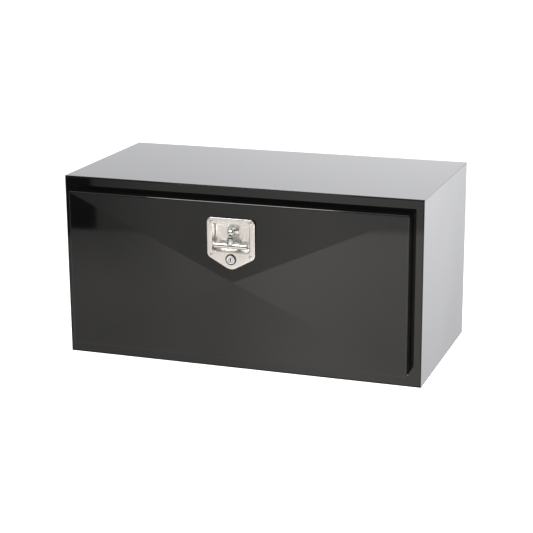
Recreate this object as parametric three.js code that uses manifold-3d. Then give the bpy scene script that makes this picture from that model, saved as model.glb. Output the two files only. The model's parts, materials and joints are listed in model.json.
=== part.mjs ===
// Underbody truck tool box with a bottom-hinged drop door and a folding T-handle latch.
// Millimetres, +Z up, the door faces -Y, X runs along the box.
// Origin: the middle of the flat bottom of the body.
import * as THREE from 'three';
import { mergeVertices } from 'three/addons/utils/BufferGeometryUtils.js';
import Module from 'manifold-3d';

const wasm = await Module();
wasm.setup();

// ---------------------------------------------------------------- driving sizes
const LENGTH = 914.4; // body, along X
const DEPTH = 457.2; // body, along Y, without the door
const HEIGHT = 457.2; // body, along Z
const SHEET = 2; // steel sheet of the body and the door
const BEND = 3; // outer radius of the folded edges
const PLATE = 3; // small plates: lugs, brackets, keeper, lock disc and lock cam
const GAP = 0.3; // clearance between pieces that touch

const DOOR_SIDE = 27; // body edge to door edge, left and right
const DOOR_TOP = 31; // body top to door top
const DOOR_BOTTOM = 36; // body bottom to door bottom
const DOOR_STAND = 38; // frame face to door face
const DOOR_FLANGE = 32; // depth of the folded door edge
const CROSS_BREAK = 3.5; // rise of the door middle above its edges

const LIP_X = 405; // door opening lip, outside half width
const LIP_BOTTOM = 62; // door opening lip, outside bottom
const LIP_TOP = 400; // door opening lip, outside top
const LIP_OUT = 22; // how far the lip stands in front of the frame
const LIP_CORNER = 14; // outside corner radius of the lip
const FRAME_RETURN = 16; // frame edge folded back inside the body
const END_FLANGE = 18; // end panel edges folded inward

const RIB_SHEET = 1.5; // hat-section stiffeners: metal thickness
const RIB_RISE = 13; // height of the hat section
const RIB_FRONT = -205; // floor and roof stiffeners, front end
const RIB_REAR = 208; // floor and roof stiffeners, rear end
const STIFF_Z0 = 78; // door stiffeners, lower end
const STIFF_Z1 = 383; // door stiffeners, upper end

const HINGE_R = 3.6; // hinge barrel radius
const HINGE_OFF = 4.2; // hinge axis in front of the frame face
const HINGE_Z = 31.6; // hinge axis height
const HINGE_LEAF = 1.5; // hinge leaf thickness
const HINGE_HALF = 425; // half length of the hinge
const KNUCKLES = 17; // odd, so both ends belong to the body leaf

const STAY_RADIUS = 250; // stay pivot and stay stud, both this far from the hinge axis
const STAY_FWD = 12; // pivot this far in front of the hinge axis, door shut
const STAY_BACK = 60; // stud this far behind the hinge axis
const STAY_LENGTH = 415; // pivot to far end of the bar
const STAY_WIDTH = 22; // bar width
const STAY_X = 386; // inner face of the bar
const STAY_THICK = 3; // bar thickness
const PLATE_X = STAY_X + STAY_THICK + 1.5; // inner face of the lug and bracket plates
const SLOT = 8.6; // slot width in the bar
const STUD_R = 4; // stud and pivot radius

const LATCH_X = -3.3; // the latch and its lock sit this far left of the middle
const LATCH_Z = 355; // spindle axis height
const LOCK_Z = 289; // key lock axis height
const DISH_HALF = 61; // latch dish half width
const DISH_TOP = 389.3; // top edge of the dish
const DISH_SHOULDER = 294.4; // where the V begins
const DISH_TIP = 261.4; // point of the V
const DISH_HOLE = 2.5; // rivet hole radius
const DISH_SHEET = 1.5; // dish metal thickness
const RECESS_HALF = 47.5; // half width of the recess mouth
const RECESS_BOTTOM = 308; // lower edge of the recess mouth
const RECESS_TOP = 375.2; // upper edge of the recess mouth
const RECESS_CORNER = 9; // corner radius of the recess mouth
const RECESS_DEPTH = 20; // front of the flange to the recess floor
const GASKET = 1; // gasket under the dish
const SPINDLE_R = 7; // latch spindle radius
const DISC_ANGLE = (40 * Math.PI) / 180; // lock disc arm, to the right of straight down
const FORK_HALF = 8; // half width of the fork that holds the handle
const EYE_HALF = 4.3; // half width of the handle eye inside the fork
const EYE_R = 6; // handle eye radius
const PIN_R = 2; // cross pin radius
const SHANK_HALF = 8.2; // half width of the handle shank
const BAR_HALF = 42.4; // half length of the T-handle crossbar
const BAR_R = 6.2; // crossbar radius
const BAR_DROP = 32.4; // handle pivot down to the crossbar
const BAR_LEAN = 3.6; // crossbar in front of the pivot, handle folded
const COLLAR_R = 14.5; // collar of the latch bushing
const BUSHING_R = 9; // threaded part of the latch bushing
const CYLINDER_R = 9.7; // threaded part of the lock
const LOCK_HEAD = 10.6; // lock head radius
const LOCK_RING = 13.6; // outside radius of the ring around the lock head
const PLUG_R = 6.2; // key plug radius
const KEYWAY = [1.6, 4.3]; // half width and half height of the keyway

// ---------------------------------------------------------------- derived levels
const FRONT = -DEPTH / 2; // front face of the frame
const DOOR_FACE = FRONT - DOOR_STAND; // door face at its edges
const DOOR_REAR = DOOR_FACE + DOOR_FLANGE; // rear edge of the door pan
const DOOR_X = LENGTH / 2 - DOOR_SIDE;
const DOOR_Z0 = DOOR_BOTTOM;
const DOOR_Z1 = HEIGHT - DOOR_TOP;
const DOOR_MID = (DOOR_Z0 + DOOR_Z1) / 2;
const PAD_FACE = DOOR_FACE - CROSS_BREAK + 0.1; // flat seat pressed for the latch dish
const DISH_BACK = PAD_FACE - GAP - GASKET - GAP; // rear of the dish flange
const DISH_FACE = DISH_BACK - DISH_SHEET; // front of the dish flange
const FLOOR_FACE = DISH_FACE + RECESS_DEPTH; // front of the recess floor
const FLOOR_BACK = FLOOR_FACE + DISH_SHEET; // rear of the recess floor
const HINGE_Y = FRONT - HINGE_OFF;
const PIVOT_Y = FLOOR_FACE - 18; // handle cross pin
const PLANE = -245.5; // front of the lock disc and the lock cam
const KEEPER_Y = FRONT + SHEET + GAP; // front of the keeper plate
const PAWL_Y = KEEPER_Y + PLATE + 0.6; // front of the pawl
const PAWL = 4; // pawl thickness
const SPINDLE_END = -210; // rear end of the latch spindle
const KEEPER_RIVET_X = 22; // keeper rivets, left and right of the pawl
const CAM_BOLT = 3; // threaded end of the key plug
const STAY_RISE_A = Math.sqrt(STAY_RADIUS ** 2 - STAY_FWD ** 2);
const STAY_RISE_B = Math.sqrt(STAY_RADIUS ** 2 - STAY_BACK ** 2);
const STAY_A = [HINGE_Y - STAY_FWD, HINGE_Z + STAY_RISE_A];
const STAY_B = [HINGE_Y + STAY_BACK, HINGE_Z + STAY_RISE_B];
const STAY_ANGLE = Math.atan2(STAY_B[1] - STAY_A[1], STAY_B[0] - STAY_A[0]);

// ---------------------------------------------------------------- materials
const finish = (color, roughness, metalness) =>
  new THREE.MeshStandardMaterial({ color, roughness, metalness });
const PAINT = finish(0x0d0e10, 0.16, 0.0);
const ZINC = finish(0xa9adb0, 0.38, 1.0);
const STAINLESS = finish(0xc3c5c6, 0.3, 1.0);
const CHROME = finish(0xdfe1e3, 0.12, 1.0);
const RUBBER = finish(0x151516, 0.85, 0.0);

// ---------------------------------------------------------------- helpers
const span = (side, a, b) => (side > 0 ? [a, b] : [-b, -a]); // an X range, or its mirror image
const shifted = (body) => body.translate([LATCH_X, 0, 0]); // drawn on X = 0, moved to the latch

function solid(geometry) {
  geometry.deleteAttribute('normal');
  geometry.deleteAttribute('uv');
  const merged = mergeVertices(geometry, 1e-4);
  const mesh = new wasm.Mesh({
    numProp: 3,
    vertProperties: new Float32Array(merged.attributes.position.array),
    triVerts: new Uint32Array(merged.index.array),
  });
  return new wasm.Manifold(mesh);
}

function node(name, body, material) {
  const out = body.getMesh();
  const geometry = new THREE.BufferGeometry();
  geometry.setAttribute('position', new THREE.BufferAttribute(out.vertProperties, 3));
  geometry.setIndex(new THREE.BufferAttribute(out.triVerts, 1));
  geometry.computeVertexNormals();
  const mesh = new THREE.Mesh(geometry, material);
  mesh.name = name;
  return mesh;
}

function rounded(points, radii) {
  // closed outline of straight sides with a rounded corner at each point
  const shape = new THREE.Shape();
  const count = points.length;
  points.forEach(([x, y], i) => {
    const before = points[(i + count - 1) % count];
    const after = points[(i + 1) % count];
    const radius = Array.isArray(radii) ? radii[i] : radii;
    const here = new THREE.Vector2(x, y);
    const toBefore = new THREE.Vector2(...before).sub(here).normalize();
    const toAfter = new THREE.Vector2(...after).sub(here).normalize();
    const start = here.clone().addScaledVector(toBefore, radius);
    const end = here.clone().addScaledVector(toAfter, radius);
    if (i === 0) shape.moveTo(start.x, start.y);
    else shape.lineTo(start.x, start.y);
    if (radius > 0) shape.quadraticCurveTo(x, y, end.x, end.y);
  });
  shape.closePath();
  return shape;
}

function rect(x0, z0, x1, z1, radius = 0) {
  return rounded([[x0, z0], [x1, z0], [x1, z1], [x0, z1]], radius);
}

function circle(x, z, radius) {
  const shape = new THREE.Shape();
  shape.absarc(x, z, radius, 0, 2 * Math.PI, false);
  return shape;
}

function hexagon(x, z, acrossFlats) {
  const radius = acrossFlats / Math.sqrt(3);
  const corner = (i) => (i * Math.PI) / 3;
  const points = [0, 1, 2, 3, 4, 5].map((i) => [
    x + radius * Math.cos(corner(i)),
    z + radius * Math.sin(corner(i)),
  ]);
  return rounded(points, 0);
}

function slabY(shape, y0, y1, segments = 4) {
  // outline in X-Z, from y0 back to y1
  const g = new THREE.ExtrudeGeometry(shape, {
    depth: y1 - y0, bevelEnabled: false, curveSegments: segments,
  });
  g.rotateX(Math.PI / 2);
  g.translate(0, y1, 0);
  return solid(g);
}

function slabX(shape, x0, x1, segments = 4) {
  // outline in Y-Z, from x0 to x1
  const g = new THREE.ExtrudeGeometry(shape, {
    depth: x1 - x0, bevelEnabled: false, curveSegments: segments,
  });
  g.applyMatrix4(new THREE.Matrix4().makeBasis(
    new THREE.Vector3(0, 1, 0), new THREE.Vector3(0, 0, 1), new THREE.Vector3(1, 0, 0),
  ));
  g.translate(x0, 0, 0);
  return solid(g);
}

function bulgedY(shape, y0, y1, radius, reach, segments = 4, steps = 3) {
  // like slabY, with both rims rounded: radius across the face, reach along Y
  const g = new THREE.ExtrudeGeometry(shape, {
    depth: y1 - y0 - 2 * reach,
    bevelEnabled: true,
    bevelThickness: reach,
    bevelSize: radius,
    bevelOffset: -radius,
    bevelSegments: steps,
    curveSegments: segments,
  });
  g.rotateX(Math.PI / 2);
  g.translate(0, y1 - reach, 0);
  return solid(g);
}

function box(x0, x1, y0, y1, z0, z1) {
  const g = new THREE.BoxGeometry(x1 - x0, y1 - y0, z1 - z0);
  g.translate((x0 + x1) / 2, (y0 + y1) / 2, (z0 + z1) / 2);
  return solid(g);
}

function turned(profile, x, z, segments = 20) {
  // [radius, y] pairs turned about an axis along Y through x, z
  const g = new THREE.LatheGeometry(profile.map(([r, y]) => new THREE.Vector2(r, y)), segments);
  g.translate(x, 0, z);
  return solid(g);
}

function turnedX(profile, y, z, segments = 20) {
  // [radius, x] pairs turned about an axis along X through y, z
  const g = new THREE.LatheGeometry(profile.map(([r, x]) => new THREE.Vector2(r, x)), segments);
  g.rotateZ(-Math.PI / 2);
  g.translate(0, y, z);
  return solid(g);
}

function rodY(x, z, radius, y0, y1, segments = 20) {
  return turned([[0, y0], [radius, y0], [radius, y1], [0, y1]], x, z, segments);
}

function rodX(y, z, radius, x0, x1, segments = 16) {
  return turnedX([[0, x0], [radius, x0], [radius, x1], [0, x1]], y, z, segments);
}

// ---------------------------------------------------------------- body of the box
function bodyWrap() {
  // one sheet folded into the top, the back and the bottom
  const back = DEPTH / 2;
  const outer = rounded(
    [[FRONT, 0], [back, 0], [back, HEIGHT], [FRONT, HEIGHT]],
    [0, BEND, BEND, 0],
  );
  const ahead = FRONT - 1;
  const inner = rounded(
    [[ahead, SHEET], [back - SHEET, SHEET], [back - SHEET, HEIGHT - SHEET], [ahead, HEIGHT - SHEET]],
    [0, BEND - SHEET, BEND - SHEET, 0],
  );
  const half = LENGTH / 2;
  return node('body_wrap', slabX(outer, -half, half).subtract(slabX(inner, -half - 1, half + 1)), PAINT);
}

function endPanel(name, side) {
  // a shallow pan set between the folds of the wrap, its flanges turned inward
  const half = LENGTH / 2;
  const inset = SHEET + GAP;
  const y1 = DEPTH / 2 - inset;
  const top = HEIGHT - inset;
  const outline = rounded([[FRONT, inset], [y1, inset], [y1, top], [FRONT, top]], [0, 3, 3, 0]);
  const low = inset + SHEET;
  const hollow = rounded(
    [[FRONT - 1, low], [y1 - SHEET, low], [y1 - SHEET, top - SHEET], [FRONT - 1, top - SHEET]],
    [0, 1, 1, 0],
  );
  const plate = slabX(outline, ...span(side, half - END_FLANGE, half));
  const inside = slabX(hollow, ...span(side, half - END_FLANGE - 1, half - SHEET));
  // the flanges start behind the folded edge of the front frame
  const notch = box(
    ...span(side, half - END_FLANGE - 1, half - SHEET), FRONT - 1, FRONT + FRAME_RETURN + 2, 0, HEIGHT,
  );
  return node(name, plate.subtract(inside).subtract(notch), PAINT);
}

function frontFrame() {
  // plate around the door opening, outer edge folded back, inner edge folded forward
  const x = LENGTH / 2 - SHEET - GAP;
  const z0 = SHEET + GAP;
  const z1 = HEIGHT - SHEET - GAP;
  const outer = bulgedY(rect(-x, z0, x, z1, 2), FRONT, FRONT + FRAME_RETURN + 10, 1.5, 1.5, 1, 2);
  const inner = box(-x + SHEET, x - SHEET, FRONT + SHEET, FRONT + 40, z0 + SHEET, z1 - SHEET);
  const tail = box(-x - 1, x + 1, FRONT + FRAME_RETURN, FRONT + 40, z0 - 1, z1 + 1);
  const lip = slabY(rect(-LIP_X, LIP_BOTTOM, LIP_X, LIP_TOP, LIP_CORNER), FRONT - LIP_OUT, FRONT + 1);
  const opening = slabY(
    rect(-LIP_X + SHEET, LIP_BOTTOM + SHEET, LIP_X - SHEET, LIP_TOP - SHEET, LIP_CORNER - SHEET),
    FRONT - LIP_OUT - 1, FRONT + 40,
  );
  return node('front_frame', outer.subtract(tail).subtract(inner).add(lip).subtract(opening), PAINT);
}

function ring(offset, y0, y1, inner) {
  // loop around the opening lip, from `inner` to `offset` outside its middle line
  const mid = SHEET / 2;
  const loop = (d) => rect(
    -LIP_X + mid - d, LIP_BOTTOM + mid - d, LIP_X - mid + d, LIP_TOP - mid + d, LIP_CORNER + d - mid,
  );
  const cut = slabY(loop(inner), y0 - 1, y1 + 1);
  return slabY(loop(offset), y0, y1).subtract(cut);
}

function weatherstrip() {
  // grip channel pushed over the lip, with a bulb that the door presses on
  const tip = FRONT - LIP_OUT - GAP;
  const rear = FRONT - 8;
  const face = DOOR_FACE + SHEET + GAP;
  const mid = SHEET / 2;
  const grip = ring(4.6, tip - 2, rear, -4.6);
  const slot = ring(SHEET / 2 + GAP, tip, rear + 1, -SHEET / 2 - GAP);
  const bulbOuter = rect(
    -LIP_X + mid - 6, LIP_BOTTOM + mid - 6, LIP_X - mid + 6, LIP_TOP - mid + 6, LIP_CORNER + 5,
  );
  bulbOuter.holes.push(rect(
    -LIP_X + mid + 6, LIP_BOTTOM + mid + 6, LIP_X - mid - 6, LIP_TOP - mid - 6, LIP_CORNER - 7,
  ));
  const bulb = bulgedY(bulbOuter, face, tip - 1, 4, 4);
  return node('weatherstrip', grip.add(bulb).subtract(slot), RUBBER);
}

function hat(across, along, rise) {
  // hat section: `across` is its middle, feet at `along`, standing up by RIB_RISE towards `rise`
  const t = RIB_SHEET;
  const top = RIB_RISE;
  const half = [
    [26, 0], [26, t], [14.2, t], [10.2, top], [-10.2, top], [-14.2, t], [-26, t],
    [-26, 0], [-13, 0], [-9, top - t], [9, top - t], [13, 0],
  ];
  return rounded(half.map(([u, v]) => [across + u, along + rise * v]), 0);
}

function floorRib(name, x) {
  return node(name, slabY(hat(x, SHEET + GAP, 1), RIB_FRONT, RIB_REAR), PAINT);
}

function roofRib(name, x) {
  return node(name, slabY(hat(x, HEIGHT - SHEET - GAP, -1), RIB_FRONT, RIB_REAR), PAINT);
}

// ---------------------------------------------------------------- hinge along the bottom of the door
function knuckles(first) {
  const pitch = (2 * HINGE_HALF) / KNUCKLES;
  let out = null;
  for (let i = first; i < KNUCKLES; i += 2) {
    const x0 = -HINGE_HALF + i * pitch + GAP;
    const barrel = rodX(HINGE_Y, HINGE_Z, HINGE_R, x0, x0 + pitch - 2 * GAP, 12);
    out = out ? out.add(barrel) : barrel;
  }
  return out;
}

function gaps(first, y0, y1, z0, z1) {
  // clear the leaf where the other leaf has its knuckles
  const pitch = (2 * HINGE_HALF) / KNUCKLES;
  let out = null;
  for (let i = first; i < KNUCKLES; i += 2) {
    const x0 = -HINGE_HALF + i * pitch - GAP;
    const cut = box(x0, x0 + pitch + 2 * GAP, y0, y1, z0, z1);
    out = out ? out.add(cut) : cut;
  }
  return out;
}

const hingeBore = () => rodX(HINGE_Y, HINGE_Z, 2.2, -HINGE_HALF - 1, HINGE_HALF + 1, 12);

function hingeLeafBody() {
  const y1 = FRONT - GAP;
  const y0 = y1 - HINGE_LEAF;
  const leaf = box(-HINGE_HALF, HINGE_HALF, y0, y1, HINGE_Z, LIP_BOTTOM - 6);
  const cut = gaps(1, y0 - 1, y1 + 1, HINGE_Z - 5, HINGE_Z + HINGE_R + 1);
  return node('hinge_leaf_body', leaf.subtract(cut).add(knuckles(0)).subtract(hingeBore()), PAINT);
}

function hingeLeafDoor() {
  const z1 = DOOR_Z0 - GAP;
  const z0 = z1 - HINGE_LEAF;
  const leaf = box(-HINGE_HALF, HINGE_HALF, DOOR_FACE + 8, HINGE_Y, z0, z1);
  const cut = gaps(0, HINGE_Y - HINGE_R - 1, HINGE_Y + 5, z0 - 1, z1 + 1);
  return node('hinge_leaf_door', leaf.subtract(cut).add(knuckles(1)).subtract(hingeBore()), PAINT);
}

function hingePin() {
  return node('hinge_pin', rodX(HINGE_Y, HINGE_Z, 1.8, -HINGE_HALF - 2, HINGE_HALF + 2, 12), ZINC);
}

// ---------------------------------------------------------------- door
function crossBreak(shift) {
  // very flat four-sided pyramid: the four facets of the cross-broken door
  const x = DOOR_X - BEND;
  const z = (DOOR_Z1 - DOOR_Z0) / 2 - BEND;
  const rise = CROSS_BREAK + 1;
  const g = new THREE.ConeGeometry(Math.SQRT2, rise, 4, 1);
  g.rotateY(Math.PI / 4);
  g.rotateX(Math.PI);
  g.scale(x + 6, 1, z + 6);
  g.translate(0, DOOR_FACE + 1 - rise / 2 + shift, DOOR_MID);
  const keep = box(-x, x, DOOR_FACE - 10, DOOR_FACE + 10, DOOR_MID - z, DOOR_MID + z);
  return solid(g).intersect(keep);
}

const shield = (inset) => rounded([
  [-DISH_HALF + inset, DISH_TOP - inset],
  [-DISH_HALF + inset, DISH_SHOULDER + 0.4 * inset],
  [0, DISH_TIP + 1.2 * inset],
  [DISH_HALF - inset, DISH_SHOULDER + 0.4 * inset],
  [DISH_HALF - inset, DISH_TOP - inset],
], [13, 9, 13, 9, 13]);

const recess = (grow) => rect(
  -RECESS_HALF - grow, RECESS_BOTTOM - grow, RECESS_HALF + grow, RECESS_TOP + grow, RECESS_CORNER + grow,
);

const RIVETS = [[-49.3, 381.3], [49.3, 381.3], [-49.3, 298.6], [49.3, 298.6]];

function dishHoles(y0, y1) {
  // holes for the four rivets and for the lock, through everything from y0 to y1
  let holes = rodY(0, LOCK_Z, CYLINDER_R + 0.5, y0, y1);
  RIVETS.forEach(([x, z]) => {
    holes = holes.add(rodY(x, z, DISH_HOLE, y0, y1, 12));
  });
  return holes;
}

function doorPan() {
  const outline = (t, r) => rect(-DOOR_X + t, DOOR_Z0 + t, DOOR_X - t, DOOR_Z1 - t, r);
  const outer = bulgedY(outline(0, 4), DOOR_FACE, DOOR_REAR + 10, BEND, BEND, 2, 3);
  const bend = BEND - SHEET;
  const inner = bulgedY(outline(SHEET, 2), DOOR_FACE + SHEET, DOOR_REAR + 20, bend, bend, 2, 2);
  const tail = box(-DOOR_X - 1, DOOR_X + 1, DOOR_REAR, DOOR_REAR + 30, DOOR_Z0 - 1, DOOR_Z1 + 1);
  const padOuter = slabY(shield(1.5), PAD_FACE, DOOR_FACE + 1);
  const padInner = slabY(shield(1.5 + SHEET), PAD_FACE + SHEET, DOOR_FACE + SHEET + 1);
  const holes = slabY(recess(DISH_SHEET + 0.6), PAD_FACE - 5, DOOR_FACE + 5)
    .add(dishHoles(PAD_FACE - 5, DOOR_FACE + 5));
  const skin = outer.add(crossBreak(0)).add(shifted(padOuter));
  const hollow = inner.add(crossBreak(SHEET)).add(shifted(padInner));
  return node('door_pan', skin.subtract(hollow).subtract(tail).subtract(shifted(holes)), PAINT);
}

function doorStiffener(name, x) {
  // hat section standing upright against the inside of the door
  const section = hat(x, -(DOOR_FACE + SHEET + GAP), -1);
  const g = new THREE.ExtrudeGeometry(section, { depth: STIFF_Z1 - STIFF_Z0, bevelEnabled: false });
  g.rotateX(Math.PI);
  g.translate(0, 0, STIFF_Z1);
  return node(name, solid(g), PAINT);
}

// ---------------------------------------------------------------- slotted stays that hold the open door
function stayBar(name, side) {
  // drawn along Y from its pivot, then placed and tilted
  const half = STAY_WIDTH / 2;
  const [x0, x1] = span(side, STAY_X, STAY_X + STAY_THICK);
  const bar = rect(-half, -half, STAY_LENGTH, half, half * 0.8);
  const slot = rect(62, -SLOT / 2, STAY_LENGTH - 8, SLOT / 2, SLOT * 0.4);
  const cut = slabX(slot, x0 - 1, x1 + 1, 3).add(slabX(circle(0, 0, SLOT / 2), x0 - 1, x1 + 1, 8));
  const mesh = node(name, slabX(bar, x0, x1, 3).subtract(cut), ZINC);
  mesh.position.set(0, ...STAY_A);
  mesh.rotation.x = STAY_ANGLE;
  return mesh;
}

function stayRivet(name, side, [y, z]) {
  // shouldered rivet through the bar and the plate beside it
  const x0 = STAY_X - GAP - 2.5;
  const x1 = PLATE_X + PLATE + GAP;
  const profile = [
    [0, x0], [5.5, x0], [7, x0 + 1], [7, x0 + 2.5], [STUD_R, x0 + 2.5],
    [STUD_R, x1], [6, x1], [6, x1 + 1.2], [0, x1 + 1.2],
  ];
  const points = side > 0 ? profile : profile.map(([r, x]) => [r, -x]).reverse();
  return node(name, turnedX(points, y, z, 16), ZINC);
}

function stayLug(name, side) {
  // angle on the inside of the door, carrying the stay pivot
  const [y, z] = STAY_A;
  const skin = DOOR_FACE + SHEET + GAP;
  const outline = rounded([[skin, z - 13], [y + 9, z - 9], [y + 9, z + 9], [skin, z + 13]], [0, 6, 6, 0]);
  const web = slabX(outline, ...span(side, PLATE_X, PLATE_X + PLATE));
  const foot = box(...span(side, PLATE_X - 22, PLATE_X + PLATE), skin, skin + 2.5, z - 13, z + 13);
  const hole = rodX(y, z, STUD_R + GAP, ...span(side, PLATE_X - 1, PLATE_X + PLATE + 1));
  return node(name, web.add(foot).subtract(hole), ZINC);
}

function stayBracket(name, side) {
  // angle behind the frame, carrying the stud that runs in the slot
  const [y, z] = STAY_B;
  const face = FRONT + SHEET + GAP;
  const outline = rounded([[face, z - 20], [y + 12, z - 11], [y + 12, z + 11], [face, z + 20]], [0, 8, 8, 0]);
  const web = slabX(outline, ...span(side, PLATE_X, PLATE_X + PLATE));
  const foot = box(...span(side, PLATE_X, 440), face, face + PLATE, z - 20, z + 20);
  const hole = rodX(y, z, STUD_R + GAP, ...span(side, PLATE_X - 1, PLATE_X + PLATE + 1));
  return node(name, web.add(foot).subtract(hole), ZINC);
}

// ---------------------------------------------------------------- latch dish and its fixings
function latchDish() {
  // flange on the door, recess behind it, both drawn long in front and cut flush
  const flange = bulgedY(shield(0), DISH_FACE, DISH_BACK, 0.6, 0.7, 4, 1);
  const outer = bulgedY(recess(DISH_SHEET), DISH_FACE - 8, FLOOR_BACK, 5, 7, 3, 3);
  const inner = bulgedY(recess(0), DISH_FACE - 8, FLOOR_FACE, 5, 7, 3, 3);
  const ahead = box(-70, 70, DISH_FACE - 10, DISH_FACE, DISH_TIP, DISH_TOP + 10);
  const holes = rodY(0, LATCH_Z, BUSHING_R + GAP, FLOOR_FACE - 2, FLOOR_BACK + 2)
    .add(dishHoles(DISH_FACE - 2, DISH_BACK + 2));
  return node('latch_dish', outer.subtract(ahead).add(flange).subtract(inner).subtract(holes), STAINLESS);
}

function dishGasket() {
  const y0 = DISH_BACK + GAP;
  const holes = slabY(recess(DISH_SHEET + 0.6), y0 - 1, y0 + GASKET + 1)
    .add(dishHoles(y0 - 1, y0 + GASKET + 1));
  return node('dish_gasket', slabY(shield(1.5), y0, y0 + GASKET).subtract(holes), RUBBER);
}

function dishRivet(name, [x, z]) {
  const face = DISH_FACE - GAP;
  const back = PAD_FACE + SHEET + GAP;
  return node(name, turned([
    [0, face - 1.5], [2.2, face - 1.2], [3.9, face - 0.4], [4.1, face], [2.2, face],
    [2.2, back], [2.9, back], [2.6, back + 1.6], [0, back + 1.8],
  ], x, z, 14), STAINLESS);
}

function latchBushing() {
  const front = FLOOR_FACE - 4.6;
  const body = turned([
    [0, front], [COLLAR_R - 1.2, front], [COLLAR_R, front + 1.2], [COLLAR_R, FLOOR_FACE - GAP],
    [BUSHING_R, FLOOR_FACE - GAP], [BUSHING_R, FLOOR_BACK + 5], [0, FLOOR_BACK + 5],
  ], 0, LATCH_Z, 24);
  return node('latch_bushing', body.subtract(rodY(0, LATCH_Z, SPINDLE_R + GAP, front - 1, 0)), CHROME);
}

function ringNut(name, z, acrossFlats, bore, y0, y1) {
  const nut = slabY(hexagon(0, z, acrossFlats), y0, y1);
  return node(name, nut.subtract(rodY(0, z, bore, y0 - 1, y1 + 1)), ZINC);
}

// ---------------------------------------------------------------- turning parts of the latch
function latchSpindle() {
  // shaft with a fork for the handle on its front end
  const fork = FLOOR_FACE - 4.9;
  const shaft = turned([
    [0, fork - 1.8], [11, fork - 1.8], [11, fork], [SPINDLE_R, fork], [SPINDLE_R, SPINDLE_END - 1],
    [SPINDLE_R - 1, SPINDLE_END], [0, SPINDLE_END],
  ], 0, LATCH_Z, 24);
  const tip = PIVOT_Y - 5.5;
  const cheek = rounded([
    [tip, LATCH_Z - 6.5], [fork - 1, LATCH_Z - 6.5], [fork - 1, LATCH_Z + 6.5], [tip, LATCH_Z + 6.5],
  ], [4, 0, 0, 4]);
  const slot = EYE_HALF + 0.4;
  const fingers = slabX(cheek, slot, FORK_HALF).add(slabX(cheek, -FORK_HALF, -slot));
  const pinHole = rodX(PIVOT_Y, LATCH_Z, PIN_R + GAP, -10, 10, 12);
  return node('latch_spindle', shaft.add(fingers).subtract(pinHole), CHROME);
}

function handlePin() {
  return node('handle_pin', rodX(PIVOT_Y, LATCH_Z, PIN_R, -FORK_HALF, FORK_HALF, 12), CHROME);
}

function tHandle() {
  // eye, shank and crossbar in one casting, lying folded down in the dish
  const barY = PIVOT_Y - BAR_LEAN;
  const barZ = LATCH_Z - BAR_DROP;
  const eye = rodX(PIVOT_Y, LATCH_Z, EYE_R, -EYE_HALF, EYE_HALF, 16);
  const neck = slabX(rounded([
    [PIVOT_Y - 4.5, LATCH_Z - 2], [barY - 4, barZ], [barY + 4, barZ], [PIVOT_Y + 4.5, LATCH_Z - 2],
  ], 0), -EYE_HALF, EYE_HALF);
  const shankTop = LATCH_Z - 11;
  const shank = slabX(rounded([
    [PIVOT_Y - 7.6, shankTop], [barY - 4.8, barZ + 1], [barY + 4.5, barZ + 1], [PIVOT_Y + 3.2, shankTop],
  ], 0), -SHANK_HALF, SHANK_HALF);
  const end = BAR_HALF;
  const bar = turnedX([
    [0, -end], [BAR_R - 1, -end], [BAR_R, -end + 1], [BAR_R, end - 1], [BAR_R - 1, end], [0, end],
  ], barY, barZ, 20);
  const hole = rodX(PIVOT_Y, LATCH_Z, PIN_R + GAP, -10, 10, 12);
  return node('t_handle', eye.add(neck).add(shank).add(bar).subtract(hole), CHROME);
}

function lockDisc() {
  // disc on the spindle with one arm; the lock cam stands in the way of the arm
  const disc = rodY(0, 0, 13, PLANE, PLANE + PLATE);
  const arm = slabY(rect(-5, -34, 5, 0, 3), PLANE, PLANE + PLATE);
  const bore = rodY(0, 0, SPINDLE_R + GAP, PLANE - 1, PLANE + PLATE + 1);
  const mesh = node('lock_disc', disc.add(arm).subtract(bore), ZINC);
  mesh.position.z = LATCH_Z;
  mesh.rotation.y = -DISC_ANGLE;
  return mesh;
}

function latchSpacer() {
  const y0 = PLANE + PLATE + GAP;
  const y1 = PAWL_Y - GAP;
  const bore = rodY(0, LATCH_Z, SPINDLE_R + GAP, y0 - 1, y1 + 1);
  return node('latch_spacer', rodY(0, LATCH_Z, 9.5, y0, y1).subtract(bore), ZINC);
}

function pawl() {
  const reach = 58;
  const shape = rounded(
    [[-14, -14], [14, -14], [14, 12], [11, reach], [-11, reach], [-14, 12]].map(([x, z]) => [x, LATCH_Z + z]),
    [9, 9, 4, 5, 5, 4],
  );
  const bore = rodY(0, LATCH_Z, SPINDLE_R + GAP, PAWL_Y - 1, PAWL_Y + PAWL + 1);
  return node('pawl', slabY(shape, PAWL_Y, PAWL_Y + PAWL).subtract(bore), ZINC);
}

function keeper() {
  const z0 = LIP_TOP + 1;
  const plate = slabY(rect(-32, z0, 32, z0 + 34, 5), KEEPER_Y, KEEPER_Y + PLATE);
  const hole = (x) => rodY(x, z0 + 24, 2.6, KEEPER_Y - 1, KEEPER_Y + 5, 12);
  const holes = hole(-KEEPER_RIVET_X).add(hole(KEEPER_RIVET_X));
  return node('keeper', plate.subtract(holes), ZINC);
}

function keeperRivet(name, x) {
  const z = LIP_TOP + 25;
  return node(name, turned([
    [0, KEEPER_Y + 0.2], [2.3, KEEPER_Y + 0.2], [2.3, KEEPER_Y + PLATE + GAP], [4.2, KEEPER_Y + PLATE + GAP],
    [3.2, KEEPER_Y + PLATE + 2], [0, KEEPER_Y + PLATE + 2.4],
  ], x, z, 12), ZINC);
}

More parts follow.
